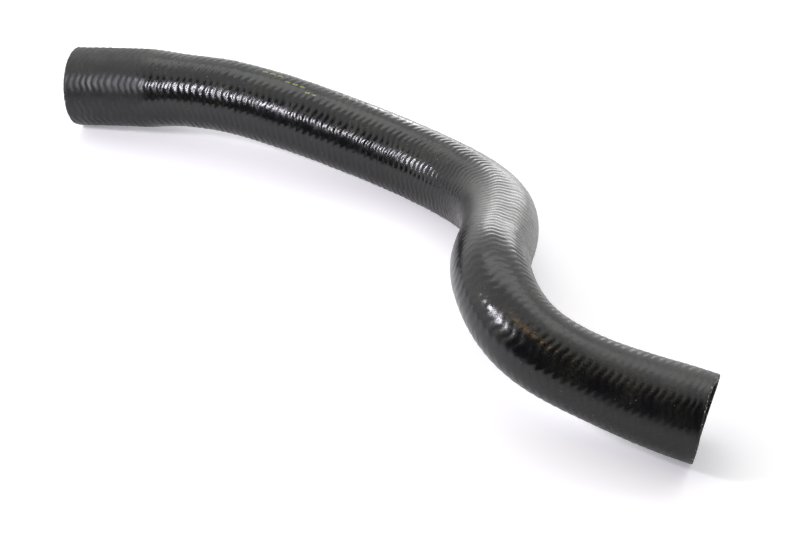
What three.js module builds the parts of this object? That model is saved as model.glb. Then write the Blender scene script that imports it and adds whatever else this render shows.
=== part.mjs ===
// Radiator hose: one moulded rubber tube, bent in space, with both ends stretched to slip over a pipe.
// Millimetres, +Z up. The hose lies on z = 0 and its long end runs along +X when seen from above.
// The origin is the middle of the hose's box, on the surface that it lies on.

import * as THREE from 'three';
import { mergeVertices } from 'three/addons/utils/BufferGeometryUtils.js';

// Section of the tube, measured over the crests of its ribs.
const bodyBore = 34.5;
const wall = 4;
const longEndBore = 38.5;
const shortEndBore = 39.5;

// Lengths of the stretched ends, and of the taper from each of them down to the body.
const longEndCuff = 42;
const longEndTaper = 30;
const shortEndCuff = 5;
const shortEndTaper = 65;

// The ribs that the curing wrap leaves all along the skin: their spacing, the depth of the grooves
// between them, and how far each rib swings to and fro along the hose on its way around.
const ribSpacing = 4;
const grooveDepth = 0.5;
const zigzagReach = 2.4;

// Points that draw in the centre line. It starts and stops at the two ends and passes near the rest.
const longEnd = new THREE.Vector3(0, 0, 22.9);
const humpRise = new THREE.Vector3(73.5, 0, 32.5);
const humpFall = new THREE.Vector3(115.5, -5.5, 32.5);
const longLimb = new THREE.Vector3(181.5, -17, 23.8);
const elbowEntry = new THREE.Vector3(234, -33.5, 18.6);
const elbow = new THREE.Vector3(274.5, -75, 30.7);
const nearLimb = new THREE.Vector3(274.5, -130, 43.9);
const archTop = new THREE.Vector3(280, -163, 56.7);
const returnBend = new THREE.Vector3(303, -199.5, 46.5);
const shortLimb = new THREE.Vector3(353.5, -204.5, 31.3);
const shortEnd = new THREE.Vector3(399.5, -207.5, 23.7);

// Fineness of the surface: faces around the tube, and how many half ribs one ring of the bore spans.
const facesAround = 20;
const halfRibsPerBoreRing = 7;
const lengthSteps = 2000;

const rubber = new THREE.MeshStandardMaterial({ color: 0x242527, roughness: 0.42, metalness: 0 });

// A smooth line through space: every span of it blends the four points around it.
class DrawnLine extends THREE.Curve {
  constructor(points) {
    super();
    this.arcLengthDivisions = lengthSteps;
    const before = points[0].clone().multiplyScalar(2).sub(points[1]);
    const after = points.at(-1).clone().multiplyScalar(2).sub(points.at(-2));
    this.points = [before, ...points, after];
  }

  getPoint(t, target = new THREE.Vector3()) {
    const spans = this.points.length - 3;
    const span = Math.min(Math.floor(t * spans), spans - 1);
    const u = t * spans - span;
    const weights = [
      (1 - u) ** 3,
      3 * u ** 3 - 6 * u ** 2 + 4,
      -3 * u ** 3 + 3 * u ** 2 + 3 * u + 1,
      u ** 3,
    ];
    target.set(0, 0, 0);
    weights.forEach((weight, i) => target.addScaledVector(this.points[span + i], weight / 6));
    return target;
  }
}

// The centre line, with the attitude of its section carried along it without any twist.
class Route {
  constructor(points, sections) {
    this.line = new DrawnLine(points);
    this.length = this.line.getLength();
    this.sections = sections;
    this.sides = this.line.computeFrenetFrames(sections, false).normals;
  }

  // The section's centre and its two cross directions at distance s.
  sectionAt(s) {
    const share = s / this.length;
    const heading = this.line.getTangentAt(share);
    const side = this.sides[Math.round(share * this.sections)].clone();
    side.addScaledVector(heading, -side.dot(heading)).normalize();
    return { centre: this.line.getPointAt(share), side, rise: heading.cross(side) };
  }
}

// Bore radius at distance s: full size at both ends, eased down to the body through the tapers.
function boreRadius(s, length) {
  const toShortEnd = length - s;
  const fromLongEnd = THREE.MathUtils.smoothstep(s, longEndCuff, longEndCuff + longEndTaper);
  const fromShortEnd = THREE.MathUtils.smoothstep(toShortEnd, shortEndCuff, shortEndCuff + shortEndTaper);
  const longEndStretch = (longEndBore - bodyBore) * (1 - fromLongEnd);
  const shortEndStretch = (shortEndBore - bodyBore) * (1 - fromShortEnd);
  return (bodyBore + longEndStretch + shortEndStretch) / 2;
}

// Closed outline of the wall of a straight hose: up the ribbed outside, across the cut end and
// down the smooth bore. Even stations are crests of ribs, and odd ones are grooves.
function wallOutline(length, halfRibs) {
  const stations = Array.from({ length: halfRibs + 1 }, (_, i) => (length * i) / halfRibs);
  const outside = stations.map((s, i) => {
    const groove = (i % 2) * grooveDepth;
    return new THREE.Vector2(boreRadius(s, length) + wall - groove, s);
  });
  const bore = stations
    .filter((_, i) => i % halfRibsPerBoreRing === 0 || i === halfRibs)
    .map((s) => new THREE.Vector2(boreRadius(s, length), s))
    .reverse();
  return [...outside, ...bore, outside[0].clone()];
}

// Swings the ribs of the straight hose: every other row of skin points moves on, and the rows
// between them move back. The swing dies out at both cut ends, which stay flat.
function swingRibs(positions, rowLength, length) {
  for (let i = 0; i < positions.count; i += 1) {
    const s = positions.getY(i);
    const fromAxis = Math.hypot(positions.getX(i), positions.getZ(i));
    const onSkin = fromAxis > boreRadius(s, length) + wall / 2;
    if (!onSkin) continue;
    const toEnd = Math.min(s, length - s);
    const reach = (zigzagReach / 2) * THREE.MathUtils.smoothstep(toEnd, 0, 2 * ribSpacing);
    const row = Math.floor(i / rowLength);
    positions.setY(i, row % 2 ? s + reach : s - reach);
  }
}

// Turns the straight hose and bends it: each point keeps its place in its own section.
function bentHose(points) {
  const straight = new DrawnLine(points).getLength();
  const halfRibs = 2 * Math.round(straight / ribSpacing);
  const route = new Route(points, halfRibs);
  const outline = wallOutline(route.length, halfRibs);
  const geometry = new THREE.LatheGeometry(outline, facesAround);
  geometry.deleteAttribute('normal');
  geometry.deleteAttribute('uv');
  const positions = geometry.getAttribute('position');
  swingRibs(positions, outline.length, route.length);
  for (let i = 0; i < positions.count; i += 1) {
    const section = route.sectionAt(positions.getY(i));
    const place = section.centre
      .addScaledVector(section.rise, positions.getX(i))
      .addScaledVector(section.side, positions.getZ(i));
    positions.setXYZ(i, place.x, place.y, place.z);
  }
  return mergeVertices(geometry);
}

// Lays the hose on z = 0 with the middle of its box over the origin.
function laidOnSurface(geometry) {
  geometry.computeBoundingBox();
  const box = geometry.boundingBox;
  const middle = box.getCenter(new THREE.Vector3());
  return geometry.translate(-middle.x, -middle.y, -box.min.z);
}

const limbs = [longEnd, humpRise, humpFall, longLimb, elbowEntry];
const bends = [elbow, nearLimb, archTop, returnBend, shortLimb, shortEnd];

const hose = new THREE.Mesh(laidOnSurface(bentHose([...limbs, ...bends])), rubber);
hose.name = 'hose';
hose.geometry.computeVertexNormals();

const radiatorHose = new THREE.Group();
radiatorHose.add(hose);

export default radiatorHose;
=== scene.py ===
"""Radiator hose: the looks of one moulded rubber tube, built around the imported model.

Metres, +Z up. The hose lies on z = 0 and its long end runs along +X when seen from above.
"""

import math
from typing import NamedTuple

import bpy
import numpy as np
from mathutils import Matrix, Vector


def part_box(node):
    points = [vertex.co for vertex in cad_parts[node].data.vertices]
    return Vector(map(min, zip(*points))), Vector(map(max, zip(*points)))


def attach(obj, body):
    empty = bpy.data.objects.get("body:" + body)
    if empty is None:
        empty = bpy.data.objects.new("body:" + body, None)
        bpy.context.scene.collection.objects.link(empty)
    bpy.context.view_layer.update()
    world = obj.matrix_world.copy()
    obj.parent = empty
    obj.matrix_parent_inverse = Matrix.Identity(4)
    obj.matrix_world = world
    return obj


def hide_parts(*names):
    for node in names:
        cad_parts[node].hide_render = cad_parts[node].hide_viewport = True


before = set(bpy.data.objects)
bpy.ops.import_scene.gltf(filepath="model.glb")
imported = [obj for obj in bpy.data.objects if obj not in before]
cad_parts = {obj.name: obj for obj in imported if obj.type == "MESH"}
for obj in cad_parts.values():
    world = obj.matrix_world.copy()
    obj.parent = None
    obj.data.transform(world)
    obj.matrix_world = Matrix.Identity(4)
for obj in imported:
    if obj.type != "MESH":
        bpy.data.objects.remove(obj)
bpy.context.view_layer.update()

# Section of the tube.
BODY_BORE = 0.0345
WALL = 0.004
LONG_END_BORE = 0.0385
SHORT_END_BORE = 0.0395

# Lengths of the stretched ends, and of the taper from each of them down to the body.
LONG_END_CUFF = 0.042
LONG_END_TAPER = 0.030
SHORT_END_CUFF = 0.005
SHORT_END_TAPER = 0.065

# Points that draw in the centre line, which starts and stops at the two ends and passes near the rest.
ROUTE_POINTS = (
    (0, 0, 0.0229),
    (0.0735, 0, 0.0325),
    (0.1155, -0.0055, 0.0325),
    (0.1815, -0.017, 0.0238),
    (0.234, -0.0335, 0.0186),
    (0.2745, -0.075, 0.0307),
    (0.2745, -0.130, 0.0439),
    (0.280, -0.163, 0.0567),
    (0.303, -0.1995, 0.0465),
    (0.3535, -0.2045, 0.0313),
    (0.3995, -0.2075, 0.0237),
)
STEPS_PER_SPAN = 400

# Ribs that the curing wrap leaves in the skin. Each one zigzags on its way around the hose.
RIB_SPACING = 0.0040
RIB_HEIGHT = 0.00040
RIB_CREST_POWER = 0.5
ZIGZAGS_AROUND = 12
ZIGZAG_REACH = 0.00135
ZIGZAG_POINTEDNESS = 0.94

# The bends stretch the skin, and the ribs are flatter from the elbow on to the short end.
FLATTER_FROM = 0.245
FLATTER_TO = 0.300
FLATTER_RIBS = 0.62

# How far the ribs stray from their pattern, in turns of it: broadly, finely, and in their zigzag.
RIB_WANDER = 0.12
RIB_JITTER = 0.04
ZIGZAG_WANDER = 0.15

# Height of the ribs, as a share of the full one: the usual height, and how far it varies.
USUAL_RIB = 0.85
UNEVEN_RIB = 0.3

# Cells of the noise behind all this, along the hose and around it.
WANDER_CELLS = (60, 8)
JITTER_CELLS = (150, 26)
PATCH_CELLS = (40, 7)
ZIGZAG_CELLS = (50, 6)

# The short end is cut by hand: its edge falls back a little on one side.
UNEVEN_CUT_DEPTH = 0.0023
UNEVEN_CUT_ANGLE = math.radians(185)
UNEVEN_CUT_REACH = 0.012

# Fineness of the surface.
FACES_AROUND = 104
RINGS_PER_RIB = 6
BORE_RING_SPACING = 0.006
LIP_ROUNDING = 0.0003

RANDOM_SEED = 7


class Route:
    """The centre line, with the attitude of its section carried along it without any twist."""

    def __init__(self, points):
        points = np.array(points)
        before = 2 * points[0] - points[1]
        after = 2 * points[-1] - points[-2]
        hull = np.vstack([before, points, after])
        u = np.linspace(0, 1, STEPS_PER_SPAN, endpoint=False)[:, None]
        weights = (
            (1 - u) ** 3,
            3 * u**3 - 6 * u**2 + 4,
            -3 * u**3 + 3 * u**2 + 3 * u + 1,
            u**3,
        )
        spans = [
            sum(weight * point for weight, point in zip(weights, hull[i : i + 4])) / 6
            for i in range(len(points) - 1)
        ]
        self.centres = np.vstack([*spans, points[-1:]])
        steps = np.linalg.norm(np.diff(self.centres, axis=0), axis=1)
        self.distances = np.concatenate([[0], np.cumsum(steps)])
        self.length = self.distances[-1]
        self.headings = unit(np.gradient(self.centres, axis=0))
        sides = [unit(np.cross(self.headings[0], (0, 0, 1)))]
        for heading in self.headings[1:]:
            sides.append(unit(sides[-1] - heading * (sides[-1] @ heading)))
        self.sides = np.array(sides)

    def place(self, s):
        """Centres and two cross directions of the sections at distances s."""
        centres = self.blend(self.centres, s)
        headings = unit(self.blend(self.headings, s))
        sides = self.blend(self.sides, s)
        sides = unit(sides - headings * np.sum(sides * headings, axis=1, keepdims=True))
        return centres, sides, np.cross(headings, sides)

    def blend(self, values, s):
        return np.stack([np.interp(s, self.distances, column) for column in values.T], axis=1)


def unit(vectors):
    return vectors / np.linalg.norm(vectors, axis=-1, keepdims=True)


def smoothstep(x, low, high):
    t = np.clip((x - low) / (high - low), 0, 1)
    return t * t * (3 - 2 * t)


def bore_radius(s, length):
    """Full size at both ends, eased down to the body through the tapers."""
    from_long_end = smoothstep(s, LONG_END_CUFF, LONG_END_CUFF + LONG_END_TAPER)
    from_short_end = smoothstep(length - s, SHORT_END_CUFF, SHORT_END_CUFF + SHORT_END_TAPER)
    long_end_stretch = (LONG_END_BORE - BODY_BORE) * (1 - from_long_end)
    short_end_stretch = (SHORT_END_BORE - BODY_BORE) * (1 - from_short_end)
    return (BODY_BORE + long_end_stretch + short_end_stretch) / 2


def ring_stations(length):
    """Distances along the route with the same number of rings on every rib."""
    rings = math.ceil(length / RIB_SPACING * RINGS_PER_RIB)
    return np.linspace(0, length, rings + 1)


def smooth_noise(rng, along, around, cells):
    """Noise in -1 to 1 over the skin, without a seam around the tube."""
    cells_along, cells_around = cells
    grid = rng.uniform(-1, 1, (cells_along + 2, cells_around))
    y = along * cells_along
    x = around * cells_around
    row = np.floor(y).astype(int)
    column = np.floor(x).astype(int)
    ty = smoothstep(y - row, 0, 1)
    tx = smoothstep(x - column, 0, 1)
    right = (column + 1) % cells_around
    column = column % cells_around
    low = grid[row, column] * (1 - tx) + grid[row, right] * tx
    high = grid[row + 1, column] * (1 - tx) + grid[row + 1, right] * tx
    return low * (1 - ty) + high * ty


def rib_relief(s, around, length):
    """Depth of the skin below the tops of its ribs."""
    rng = np.random.default_rng(RANDOM_SEED)
    along = s / length
    wander = smooth_noise(rng, along, around, WANDER_CELLS)
    jitter = smooth_noise(rng, along, around, JITTER_CELLS)
    patchy = smooth_noise(rng, along, around, PATCH_CELLS)
    stray = smooth_noise(rng, along, around, ZIGZAG_CELLS)
    zigzag_turns = around * ZIGZAGS_AROUND + ZIGZAG_WANDER * stray
    triangle = np.arcsin(ZIGZAG_POINTEDNESS * np.sin(2 * np.pi * zigzag_turns)) / (np.pi / 2)
    rib_turns = (s + triangle * ZIGZAG_REACH) / RIB_SPACING
    rib_turns += RIB_WANDER * wander + RIB_JITTER * jitter
    ridge = (0.5 + 0.5 * np.cos(2 * np.pi * rib_turns)) ** RIB_CREST_POWER
    flatter = 1 - (1 - FLATTER_RIBS) * smoothstep(s, FLATTER_FROM, FLATTER_TO)
    height = RIB_HEIGHT * flatter * (USUAL_RIB + UNEVEN_RIB * (patchy + jitter))
    tallest = RIB_HEIGHT * (USUAL_RIB + 2 * UNEVEN_RIB)
    return tallest - ridge * height


def hose_skin(route):
    """The whole tube as rings of points on one closed skin: outside, cut ends and bore."""
    length = route.length
    turns = np.arange(FACES_AROUND) / FACES_AROUND

    outer_s = ring_stations(length)
    s_grid, turn_grid = np.meshgrid(outer_s, turns, indexing="ij")
    relief = rib_relief(s_grid.ravel(), turn_grid.ravel(), length).reshape(s_grid.shape)
    outer_r = (bore_radius(outer_s, length) + WALL)[:, None] - relief
    outer_r[0] -= LIP_ROUNDING
    outer_r[-1] -= LIP_ROUNDING

    bore_rings = math.ceil(length / BORE_RING_SPACING)
    bore_s = np.linspace(length, 0, bore_rings + 1)
    bore_r = np.repeat(bore_radius(bore_s, length)[:, None], FACES_AROUND, axis=1)

    stations = np.concatenate([outer_s, bore_s])
    radii = np.concatenate([outer_r, bore_r])
    centres, sides, rises = route.place(stations)
    angles = 2 * np.pi * turns
    radial = (
        np.sin(angles)[None, :, None] * sides[:, None]
        + np.cos(angles)[None, :, None] * rises[:, None]
    )
    points = centres[:, None] + radii[:, :, None] * radial
    near_cut = smoothstep(stations, length - UNEVEN_CUT_REACH, length)[:, None]
    fall_back = UNEVEN_CUT_DEPTH * np.maximum(0, np.cos(angles - UNEVEN_CUT_ANGLE)) ** 2
    points = points - (near_cut * fall_back)[:, :, None] * route.headings[-1]
    return points, stations, len(outer_s)


def laid_on_surface(points):
    """Moves the hose to the middle of its own node's box, and down onto the surface."""
    low, high = (np.array(corner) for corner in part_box("hose"))
    flat = points.reshape(-1, 3)
    middle = (flat.min(axis=0) + flat.max(axis=0)) / 2
    shift = (low + high) / 2 - middle
    shift[2] = low[2] - flat[:, 2].min()
    return points + shift


def skin_faces(rings):
    """Corners of the four-sided faces that join each ring of points to the next one."""
    ring = np.arange(rings)[:, None]
    column = np.arange(FACES_AROUND)[None, :]
    next_ring = (ring + 1) % rings
    next_column = (column + 1) % FACES_AROUND
    corners = np.broadcast_arrays(
        ring * FACES_AROUND + column,
        ring * FACES_AROUND + next_column,
        next_ring * FACES_AROUND + next_column,
        next_ring * FACES_AROUND + column,
    )
    return np.stack(corners, axis=-1).reshape(-1, 4)


def skin_layout(stations):
    """Places on the skin in metres: the distance from the long end, and the distance around."""
    around_step = math.pi * (BODY_BORE + 2 * WALL) / FACES_AROUND
    shape = (len(stations), FACES_AROUND)
    u_low = np.broadcast_to(stations[:, None], shape)
    u_high = np.roll(u_low, -1, axis=0)
    v_low = np.broadcast_to(np.arange(FACES_AROUND) * around_step, shape)
    v_high = v_low + around_step
    return np.stack([u_low, v_low, u_low, v_high, u_high, v_high, u_high, v_low], axis=-1)


def sharpen_lips(mesh, lips):
    """Marks the edges that run around the given rings as sharp."""
    ends = np.empty(len(mesh.edges) * 2, dtype=int)
    mesh.edges.foreach_get("vertices", ends)
    rings = ends.reshape(-1, 2) // FACES_AROUND
    on_lip = np.isin(rings[:, 0], lips) & (rings[:, 0] == rings[:, 1])
    mesh.edges.foreach_set("use_edge_sharp", on_lip)


def build_hose():
    route = Route(ROUTE_POINTS)
    points, stations, outer_count = hose_skin(route)
    points = laid_on_surface(points)
    corners = skin_faces(len(stations))

    mesh = bpy.data.meshes.new("hose_skin")
    mesh.vertices.add(len(stations) * FACES_AROUND)
    mesh.vertices.foreach_set("co", points.ravel())
    mesh.loops.add(corners.size)
    mesh.loops.foreach_set("vertex_index", corners.ravel())
    mesh.polygons.add(len(corners))
    mesh.polygons.foreach_set("loop_start", np.arange(0, corners.size, 4))
    mesh.polygons.foreach_set("use_smooth", np.ones(len(corners), dtype=bool))
    mesh.uv_layers.new(name="skin").data.foreach_set("uv", skin_layout(stations).ravel())
    mesh.update()
    mesh.validate()
    mesh.materials.append(rubber_material(route.length))
    sharpen_lips(mesh, (0, outer_count - 1, outer_count, len(stations) - 1))

    hose = bpy.data.objects.new("hose_skin", mesh)
    bpy.context.scene.collection.objects.link(hose)
    return hose


# A mix node's inputs for the share and for its two colours, and its output for the mixed colour.
MIX_SHARE = 0
MIX_FIRST = 6
MIX_SECOND = 7
MIXED = 2


class Wiring:
    """Adds nodes to a node tree and links them: a linked socket is passed on, a plain value is set."""

    def __init__(self, tree):
        self.nodes = tree.nodes
        self.links = tree.links

    def add(self, kind, settings=None, **inputs):
        node = self.nodes.new(kind)
        for name, value in (settings or {}).items():
            setattr(node, name, value)
        for name, value in inputs.items():
            self.feed(node.inputs[name.replace("_", " ")], value)
        return node

    def feed(self, socket, value):
        if isinstance(value, bpy.types.NodeSocket):
            self.links.new(value, socket)
        else:
            socket.default_value = value

    def math(self, operation, first, second=0.0):
        node = self.add("ShaderNodeMath", {"operation": operation})
        self.feed(node.inputs[0], first)
        self.feed(node.inputs[1], second)
        return node.outputs[0]

    def times(self, first, second):
        return self.math("MULTIPLY", first, second)

    def plus(self, first, second):
        return self.math("ADD", first, second)

    def distance(self, first, second):
        return self.math("ABSOLUTE", self.math("SUBTRACT", first, second))

    def ramp(self, value, low, high, start=0.0, end=1.0):
        node = self.add("ShaderNodeMapRange", {"interpolation_type": "SMOOTHSTEP"}, Value=value)
        self.feed(node.inputs["From Min"], low)
        self.feed(node.inputs["From Max"], high)
        self.feed(node.inputs["To Min"], start)
        self.feed(node.inputs["To Max"], end)
        return node.outputs["Result"]

    def object_place(self):
        return self.add("ShaderNodeTexCoord").outputs["Object"]

    def noise(self, scale, detail, roughness):
        node = self.add("ShaderNodeTexNoise", Vector=self.object_place(), Scale=scale, Detail=detail)
        self.feed(node.inputs["Roughness"], roughness)
        return node.outputs["Fac"]

    def blend(self, share, first, second):
        node = self.add("ShaderNodeMix", {"data_type": "RGBA"})
        self.feed(node.inputs[MIX_SHARE], share)
        self.feed(node.inputs[MIX_FIRST], first)
        self.feed(node.inputs[MIX_SECOND], second)
        return node.outputs[MIXED]


def new_material(name):
    material = bpy.data.materials.new(name)
    material.use_nodes = True
    return material, Wiring(material.node_tree)


# Colours of the rubber and of what lies on it.
BLACK_RUBBER = (0.0030, 0.0034, 0.0042, 1)
WORN_RUBBER = (0.0046, 0.0047, 0.0046, 1)
DUST = (0.042, 0.044, 0.031, 1)
# Painted sheen: a pale colour laid over the elbow that stands in for its bright reflection.
PAINTED_ELBOW_SHEEN = (0.050, 0.047, 0.045, 1)
SPECK = (0.45, 0.44, 0.40, 1)
# Pale colour of the cut face, also painted on the skin along the lip next to it as a painted
# highlight.
CUT_FACE_AND_LIP_HIGHLIGHT = (0.040, 0.040, 0.037, 1)
CUT_THREAD = (0.50, 0.48, 0.44, 1)
GREEN_INK = (0.25, 0.27, 0.055, 1)
WHITE_INK = (0.85, 0.85, 0.83, 1)

# How much of each of them shows, how small and how dense the specks and threads are, and how wide
# the pale band at a cut end is: the cut face, and next to it a painted highlight along the lip.
DUST_SHARE = 0.6
PAINTED_SHEEN_SHARE = 0.7
SPECK_SHARE = 0.5
SPECK_SCALE = 190.0
SPECK_SIZE = 0.040
THREADS_ABOVE = 0.60
CUT_EDGE = 0.0009

# Distances from the long end over which the finish of the skin changes.
CUFF_EDGE = (0.054, 0.042)
ELBOW_START = (0.250, 0.320)
ELBOW_STOP = (0.374, 0.324)
SHORT_LIMB_START = (0.425, 0.480)

# Noise on the skin: scale, detail and roughness.
MOTTLE = (70.0, 4.0, 0.5)
SATIN = (160.0, 5.0, 0.6)
DENTS = (130.0, 3.0, 0.5)
INK_WEAR = (1400.0, 1.0, 0.5)
FINE_GRAIN = (900.0, 3.0, 0.6)
FINEST_GRAIN = (2600.0, 2.0, 0.5)

# Gloss: the roughness of the satin skin at its glossiest and its dullest, what each area adds to it,
# and the clear coat laid over the elbow.
GLOSSIEST = 0.13
DULLEST = 0.26
ADDED_ROUGHNESS = {"cuff": 0.24, "dust": 0.18, "cut": 0.30, "elbow": 0.14, "short_limb": 0.12}
RUBBER_IOR = 1.5
ELBOW_COAT = 0.9
COAT_ROUGHNESS = 0.42

# Bumps: the fine grain's share in them, how deep they are, and how strongly they show.
FINE_GRAIN_SHARE = 0.6
GRAIN_DEPTH = 0.00009
GRAIN_STRENGTH = 0.6
DENT_DEPTH = 0.0005
DENT_STRENGTH = 0.3


class DashRow(NamedTuple):
    """A row of printed dashes: its start from the long end, and its middle around the hose."""

    ink: tuple
    start: float
    middle: float
    pitch: float
    dash: float
    height: float
    dashes: int


DASH_ROWS = (
    DashRow(GREEN_INK, 0.1135, 0.0712, 0.0046, 0.0032, 0.0012, 3),
    DashRow(GREEN_INK, 0.1285, 0.0674, 0.0046, 0.0032, 0.0012, 3),
    DashRow(GREEN_INK, 0.1425, 0.0640, 0.0040, 0.0028, 0.0012, 2),
    DashRow(WHITE_INK, 0.1790, 0.0752, 0.0052, 0.0038, 0.0018, 2),
    DashRow(WHITE_INK, 0.1930, 0.0748, 0.0046, 0.0033, 0.0016, 4),
)


def printed_dashes(wire, masks, row):
    """Mask of one worn row of plain dashes."""
    offset = wire.math("SUBTRACT", masks["along"], row.start)
    on_dash = wire.math("LESS_THAN", wire.math("MODULO", offset, row.pitch), row.dash)
    after = wire.math("GREATER_THAN", offset, 0)
    before = wire.math("LESS_THAN", offset, row.pitch * row.dashes)
    on_row = wire.math("LESS_THAN", wire.distance(masks["around"], row.middle), row.height / 2)
    mask = wire.times(wire.times(on_dash, on_row), wire.times(after, before))
    return wire.times(mask, wire.ramp(wire.noise(*INK_WEAR), low=0.30, high=0.48))


def skin_masks(wire, length):
    """Where each kind of finish lies on the skin, as sockets with values from 0 to 1."""
    layout = wire.add("ShaderNodeUVMap", {"uv_map": "skin"}).outputs[0]
    place = wire.add("ShaderNodeSeparateXYZ", Vector=layout)
    along = place.outputs["X"]
    facing = wire.add("ShaderNodeNewGeometry").outputs["Normal"]
    upward = wire.add("ShaderNodeSeparateXYZ", Vector=facing).outputs["Z"]
    top = wire.ramp(upward, low=0.2, high=0.95)
    mottle = wire.ramp(wire.noise(*MOTTLE), low=0.35, high=0.7)
    fine = wire.noise(*FINE_GRAIN)
    specks = wire.add("ShaderNodeTexVoronoi", Scale=SPECK_SCALE, Vector=wire.object_place())
    return {
        "along": along,
        "around": place.outputs["Y"],
        "mottle": mottle,
        "fine": fine,
        "dust": wire.times(top, wire.times(mottle, wire.ramp(fine, low=0.35, high=0.75))),
        "speck": wire.math("LESS_THAN", specks.outputs["Distance"], SPECK_SIZE),
        "cuff": wire.ramp(along, *CUFF_EDGE),
        "elbow": wire.times(wire.ramp(along, *ELBOW_START), wire.ramp(along, *ELBOW_STOP)),
        "short_limb": wire.ramp(along, *SHORT_LIMB_START),
        "cut": wire.math("GREATER_THAN", wire.distance(along, length / 2), length / 2 - CUT_EDGE),
    }


def rubber_colour(wire, masks):
    colour = wire.blend(masks["mottle"], BLACK_RUBBER, WORN_RUBBER)
    colour = wire.blend(wire.times(masks["dust"], DUST_SHARE), colour, DUST)
    # Painted sheen: the elbow's colour is lightened to stand in for its bright reflection.
    colour = wire.blend(wire.times(masks["elbow"], PAINTED_SHEEN_SHARE), colour, PAINTED_ELBOW_SHEEN)
    for row in DASH_ROWS:
        colour = wire.blend(printed_dashes(wire, masks, row), colour, row.ink)
    colour = wire.blend(wire.times(masks["speck"], SPECK_SHARE), colour, SPECK)
    threads = wire.math("GREATER_THAN", masks["fine"], THREADS_ABOVE)
    # Cut ends: the pale cut face with its threads, and a painted lip highlight on the skin next to it.
    return wire.blend(masks["cut"], colour, wire.blend(threads, CUT_FACE_AND_LIP_HIGHLIGHT, CUT_THREAD))


def rubber_roughness(wire, masks):
    rough = wire.ramp(wire.noise(*SATIN), low=0.3, high=0.75, start=GLOSSIEST, end=DULLEST)
    for area, added in ADDED_ROUGHNESS.items():
        rough = wire.plus(rough, wire.times(masks[area], added))
    return rough


def rubber_bumps(wire, masks):
    fine = wire.times(masks["fine"], FINE_GRAIN_SHARE)
    finest = wire.times(wire.noise(*FINEST_GRAIN), 1 - FINE_GRAIN_SHARE)
    grain = wire.plus(fine, finest)
    bumps = wire.add("ShaderNodeBump", Height=grain, Distance=GRAIN_DEPTH, Strength=GRAIN_STRENGTH)
    dents = wire.add(
        "ShaderNodeBump",
        Height=wire.noise(*DENTS),
        Distance=DENT_DEPTH,
        Strength=DENT_STRENGTH,
        Normal=bumps.outputs["Normal"],
    )
    return dents.outputs["Normal"]


def rubber_material(length):
    """Black cured rubber: satin on the body, duller on the long cuff, a little dust on top, a painted
    sheen on the elbow and a painted highlight along the cut lips.
    """
    material, wire = new_material("moulded_rubber")
    surface = wire.nodes["Principled BSDF"].inputs
    masks = skin_masks(wire, length)
    wire.feed(surface["Base Color"], rubber_colour(wire, masks))
    wire.feed(surface["Roughness"], rubber_roughness(wire, masks))
    wire.feed(surface["Normal"], rubber_bumps(wire, masks))
    wire.feed(surface["Coat Weight"], wire.times(masks["elbow"], ELBOW_COAT))
    surface["Coat Roughness"].default_value = COAT_ROUGHNESS
    surface["IOR"].default_value = RUBBER_IOR
    return material


# The floor, and how much brighter it is to the camera, so that it joins the white backdrop.
FLOOR_REACH = 3.0
PAPER = (0.9, 0.9, 0.9, 1)
PAPER_ROUGHNESS = 0.9
LIFT_COLOUR = (0.95, 0.94, 1, 1)
LIFT_STRENGTH = 0.31


def floor_material():
    """Pale paper without gloss."""
    material, wire = new_material("pale_floor")
    paper = wire.nodes["Principled BSDF"]
    paper.inputs["Base Color"].default_value = PAPER
    paper.inputs["Roughness"].default_value = PAPER_ROUGHNESS
    paper.inputs["Specular IOR Level"].default_value = 0.0
    to_camera = wire.add("ShaderNodeLightPath").outputs["Is Camera Ray"]
    strength = wire.times(to_camera, LIFT_STRENGTH)
    lift = wire.add("ShaderNodeEmission", Color=LIFT_COLOUR, Strength=strength)
    both = wire.add("ShaderNodeAddShader")
    wire.feed(both.inputs[0], paper.outputs[0])
    wire.feed(both.inputs[1], lift.outputs[0])
    wire.feed(wire.nodes["Material Output"].inputs["Surface"], both.outputs[0])
    return material


def build_floor():
    corners = [(-1, -1), (1, -1), (1, 1), (-1, 1)]
    points = [(x * FLOOR_REACH, y * FLOOR_REACH, 0) for x, y in corners]
    mesh = bpy.data.meshes.new("floor")
    mesh.from_pydata(points, [], [(0, 1, 2, 3)])
    mesh.materials.append(floor_material())
    floor = bpy.data.objects.new("floor", mesh)
    bpy.context.scene.collection.objects.link(floor)


# The camera's place and view, found from the photograph's perspective.
CAMERA_PLACE = (0.24860, -0.95891, 0.78614)
CAMERA_HEADING = math.radians(13.404)
CAMERA_DIP = math.radians(38.339)
CAMERA_LENS = 104
SENSOR_WIDTH = 36
CLIP_START = 0.05
CLIP_END = 50


def build_camera():
    camera = bpy.data.cameras.new("camera")
    camera.lens = CAMERA_LENS
    camera.sensor_width = SENSOR_WIDTH
    camera.clip_start = CLIP_START
    camera.clip_end = CLIP_END
    eye = bpy.data.objects.new("camera", camera)
    eye.location = CAMERA_PLACE
    eye.rotation_euler = (math.pi / 2 - CAMERA_DIP, 0, CAMERA_HEADING)
    bpy.context.scene.collection.objects.link(eye)
    bpy.context.scene.camera = eye


NEUTRAL = (1, 1, 1)
LILAC = (0.93, 0.90, 1)
AMBER = (1, 0.60, 0.24)


class Softbox(NamedTuple):
    """A panel of light, placed by its bearing and elevation from the camera's side, in degrees.

    It is wide and high in degrees too, as seen from the point that it is aimed at.
    """

    name: str
    bearing: float
    elevation: float
    wide: float
    high: float
    radiance: float
    distance: float
    aim: tuple
    colour: tuple


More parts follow.
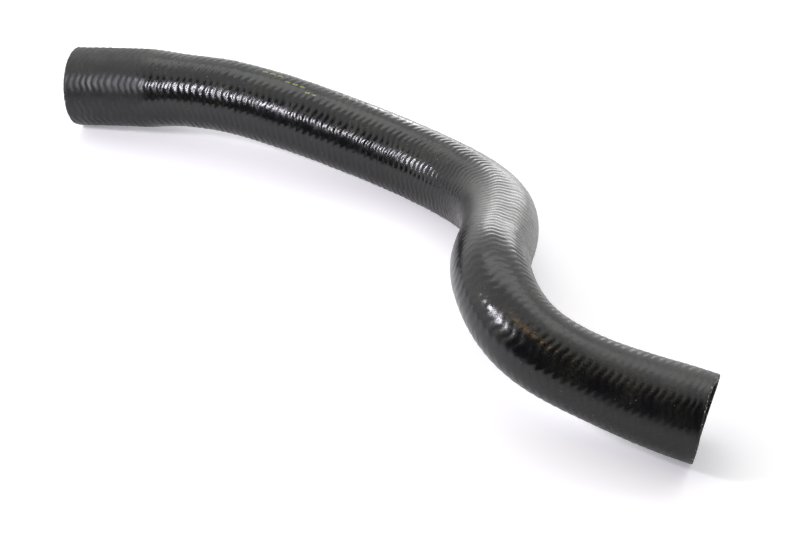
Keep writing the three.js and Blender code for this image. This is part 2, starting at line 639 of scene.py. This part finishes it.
SOFTBOXES = (
    Softbox("front_softbox", -44, 38, 25, 5.5, 62.0, 0.50, (-0.07, 0.09, 0.04), LILAC),
    Softbox("back_softbox", 165, 57, 110, 28, 1.4, 2.2, (0, 0, 0), NEUTRAL),
    Softbox("elbow_softbox", 168, 6, 37, 18, 2.7, 0.32, (0.07, 0.01, 0.02), NEUTRAL),
    Softbox("ceiling_lamp", -36, 67, 46, 3, 9.0, 0.35, (0.10, -0.08, 0.05), AMBER),
)

# The studio's light: its middle, its strength there and on the camera's side, and where between
# them it fades, as the cosine of the angle from its middle.
BACK_BEARING = -165
BACK_ELEVATION = 5
BACK_LIGHT = 1.15
CAMERA_SIDE_LIGHT = 0.05
FADE = (-0.30, 0.10)
WHITE = (1, 1, 1, 1)


def from_camera_side(bearing, elevation):
    """A direction given by its bearing from the camera's side, to the right, and its elevation."""
    a = math.radians(bearing)
    e = math.radians(elevation)
    toward = Vector((math.sin(CAMERA_HEADING), -math.cos(CAMERA_HEADING), 0))
    right = Vector((math.cos(CAMERA_HEADING), math.sin(CAMERA_HEADING), 0))
    level = toward * math.cos(a) + right * math.sin(a)
    return level * math.cos(e) + Vector((0, 0, math.sin(e)))


def span(degrees_wide, distance):
    return 2 * distance * math.tan(math.radians(degrees_wide) / 2)


def build_softbox(box):
    direction = from_camera_side(box.bearing, box.elevation)
    light = bpy.data.lights.new(box.name, "AREA")
    light.shape = "RECTANGLE"
    light.size = span(box.wide * math.cos(math.radians(box.elevation)), box.distance)
    light.size_y = span(box.high, box.distance)
    light.color = box.colour
    light.energy = box.radiance * math.pi * light.size * light.size_y
    lamp = bpy.data.objects.new(box.name, light)
    lamp.location = Vector(box.aim) + direction * box.distance
    lamp.rotation_euler = direction.to_track_quat("Z", "Y").to_euler()
    bpy.context.scene.collection.objects.link(lamp)


def build_studio():
    """Light from behind the hose that fades toward the camera's side. The camera sees plain white."""
    world = bpy.data.worlds.new("studio")
    bpy.context.scene.world = world
    world.use_nodes = True
    wire = Wiring(world.node_tree)
    from_back = wire.add("ShaderNodeVectorMath", {"operation": "DOT_PRODUCT"})
    wire.feed(from_back.inputs[0], wire.add("ShaderNodeTexCoord").outputs["Generated"])
    wire.feed(from_back.inputs[1], from_camera_side(BACK_BEARING, BACK_ELEVATION))
    strength = wire.ramp(from_back.outputs["Value"], *FADE, start=CAMERA_SIDE_LIGHT, end=BACK_LIGHT)
    background = wire.nodes["Background"]
    wire.feed(background.inputs["Color"], WHITE)
    wire.feed(background.inputs["Strength"], strength)
    seen = wire.add("ShaderNodeBackground", Color=WHITE)
    mix = wire.add("ShaderNodeMixShader")
    wire.feed(mix.inputs[0], wire.add("ShaderNodeLightPath").outputs["Is Camera Ray"])
    wire.feed(mix.inputs[1], background.outputs[0])
    wire.feed(mix.inputs[2], seen.outputs[0])
    wire.feed(wire.nodes["World Output"].inputs["Surface"], mix.outputs[0])


build_camera()
hose = build_hose()
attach(hose, "root")
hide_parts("hose")
build_floor()
for softbox in SOFTBOXES:
    build_softbox(softbox)
build_studio()
bpy.context.scene.view_settings.view_transform = "Standard"
